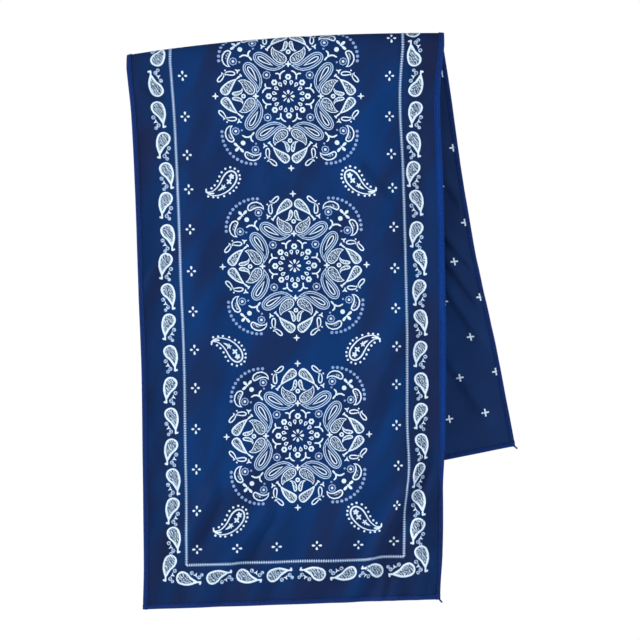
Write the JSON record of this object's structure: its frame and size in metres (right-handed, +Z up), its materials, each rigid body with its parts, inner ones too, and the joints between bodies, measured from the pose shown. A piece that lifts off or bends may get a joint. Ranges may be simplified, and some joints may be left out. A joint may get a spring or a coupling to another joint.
{
  "type": "cooling towel",
  "caption": "Thin knitted cooling towel hung in a fold over a rail, long leg in front and a shorter one swung out behind, with a paisley bandana print and overlocked edges.",
  "frame": {"origin": "the axis of the round rail that the towel hangs on, at the middle of the towel's width", "axes": "+X along the rail to the right as seen from the front, +Y to the back, +Z up; the long leg hangs on the -Y side"},
  "size_m": [0.3743, 0.0369, 0.5545],
  "materials": {
    "cloth_knit": "fine smooth polyester knit, navy, soft low sheen",
    "print_ink": "white and pale blue bandana print, sunk into the knit",
    "edge_thread": "royal blue overlock thread"
  },
  "bodies": {
    "root": {"towel_cloth": "cloth_knit", "edge_left": "edge_thread", "edge_right": "edge_thread", "edge_front": "edge_thread", "edge_back": "edge_thread"}
  },
  "joints": []
}
